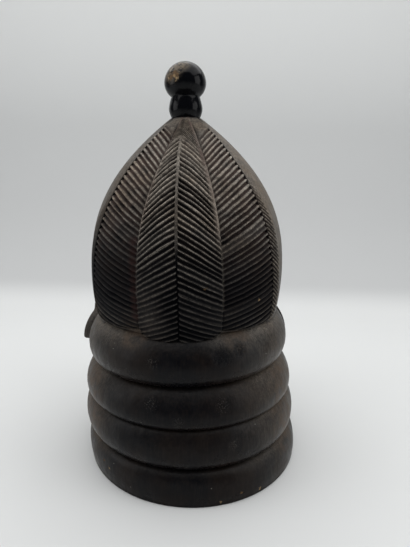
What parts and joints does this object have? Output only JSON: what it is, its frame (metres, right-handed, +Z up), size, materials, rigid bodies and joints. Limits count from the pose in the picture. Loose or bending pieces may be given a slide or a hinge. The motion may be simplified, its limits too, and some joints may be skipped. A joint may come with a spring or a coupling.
{
  "type": "sowei helmet mask",
  "caption": "Carved wooden helmet mask, hollow from below, with neck rolls, a calm face, feathered locks over the back and a knob on top.",
  "frame": {"origin": "middle of the bounding box in plan, on the floor under the foot roll", "axes": "+Z up from the foot to the knob; the face looks towards -Y, the back lock towards +Y, and the mask's own left is +X"},
  "size_m": [0.2276, 0.2426, 0.3888],
  "materials": {
    "blackened_wood": "carved wood blackened with soot and oil, satin, its raised edges dusty grey and worn brown"
  },
  "bodies": {
    "root": {"mask": "blackened_wood"}
  },
  "joints": []
}
